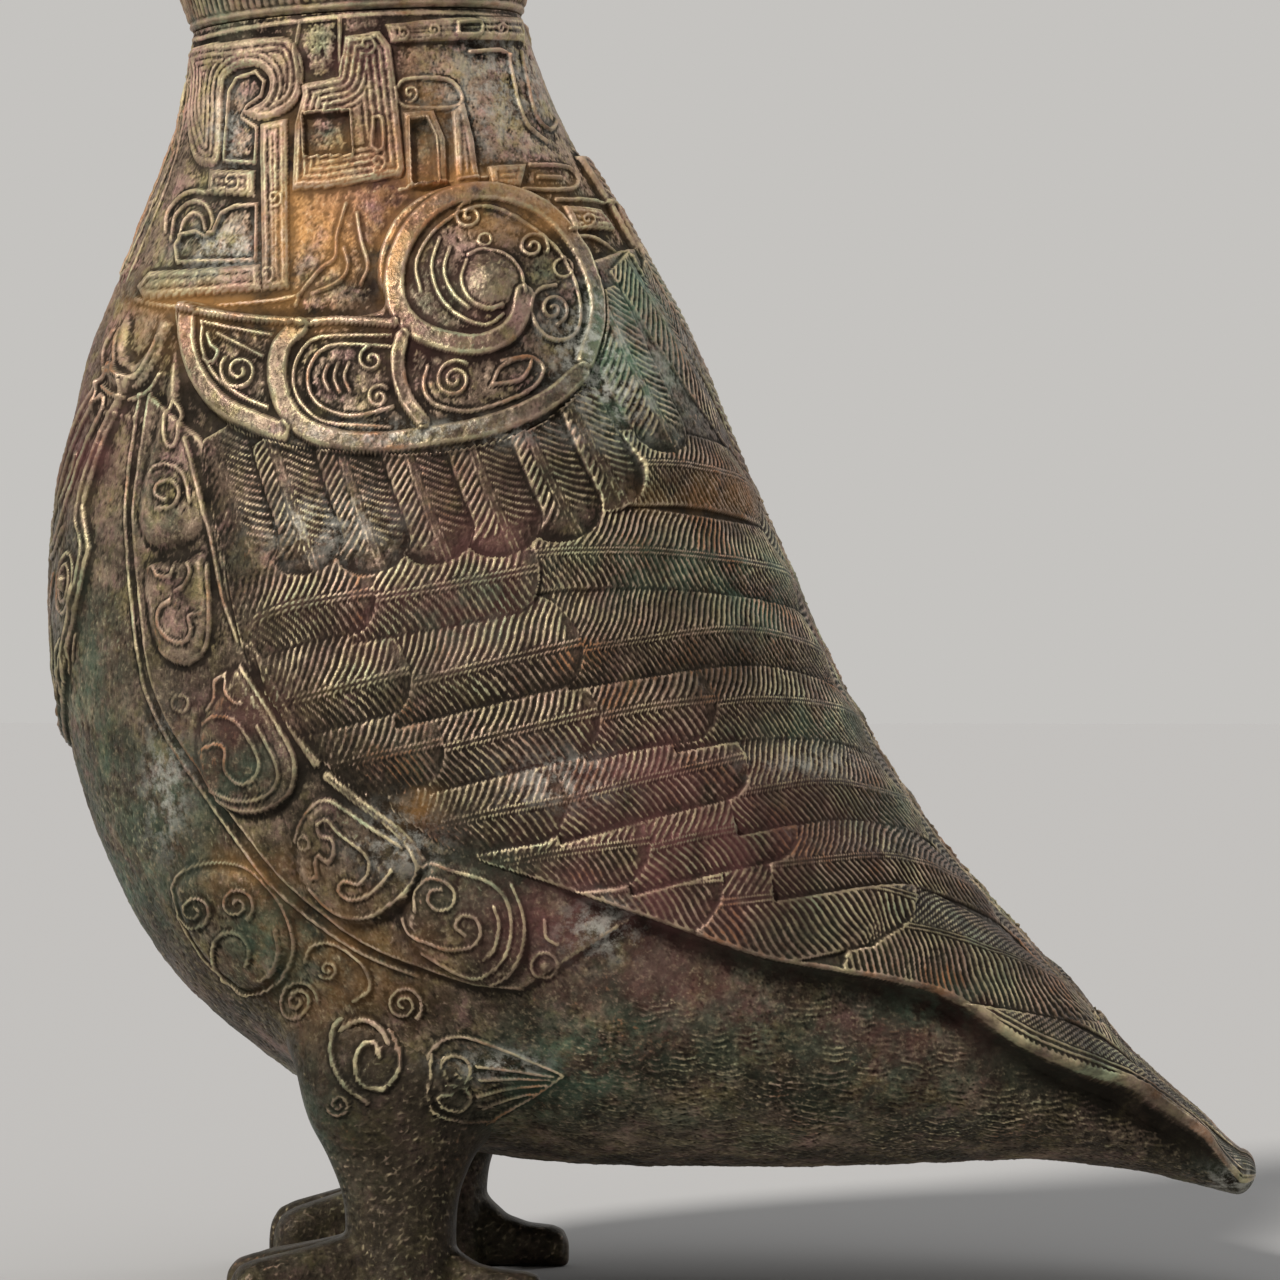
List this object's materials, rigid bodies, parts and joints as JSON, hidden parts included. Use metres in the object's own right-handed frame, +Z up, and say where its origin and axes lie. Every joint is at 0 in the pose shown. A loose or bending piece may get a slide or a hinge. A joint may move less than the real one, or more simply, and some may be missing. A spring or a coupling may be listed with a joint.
{
  "type": "bronze owl zun",
  "caption": "Cast bronze wine vessel shaped as a standing owl with folded wings, clawed feet and a trailing tail; the hollow head lifts off as a lid.",
  "frame": {"origin": "on the ground, under the middle of the bounding box", "axes": "+Z up, the bird faces -X, its left side is -Y, the tail points to +X"},
  "size_m": [0.271, 0.1546, 0.3635],
  "materials": {
    "olive_bronze": "aged, semi-matt, olive brown",
    "green_bronze": "aged, semi-matt, green patina",
    "brown_bronze": "aged, semi-matt, red brown",
    "dark_bronze": "aged, semi-matt, dark"
  },
  "bodies": {
    "vessel": {"body_vessel": "olive_bronze", "breast_mask": "green_bronze", "tail_feathers": "brown_bronze", "left_wing": "brown_bronze", "right_wing": "brown_bronze", "left_shoulder_coil": "green_bronze", "right_shoulder_coil": "green_bronze", "left_leg": "dark_bronze", "right_leg": "dark_bronze"},
    "head": {"head_lid": "olive_bronze", "upper_beak": "dark_bronze", "lower_beak": "dark_bronze", "left_eye": "green_bronze", "right_eye": "green_bronze", "left_ear_tuft": "brown_bronze", "right_ear_tuft": "brown_bronze"}
  },
  "joints": [
    {"name": "head_lift", "type": "slide", "parent": "vessel", "child": "head", "axis": [-0.0574, 0, 0.9984], "range_m": [0, 0.08]}
  ]
}
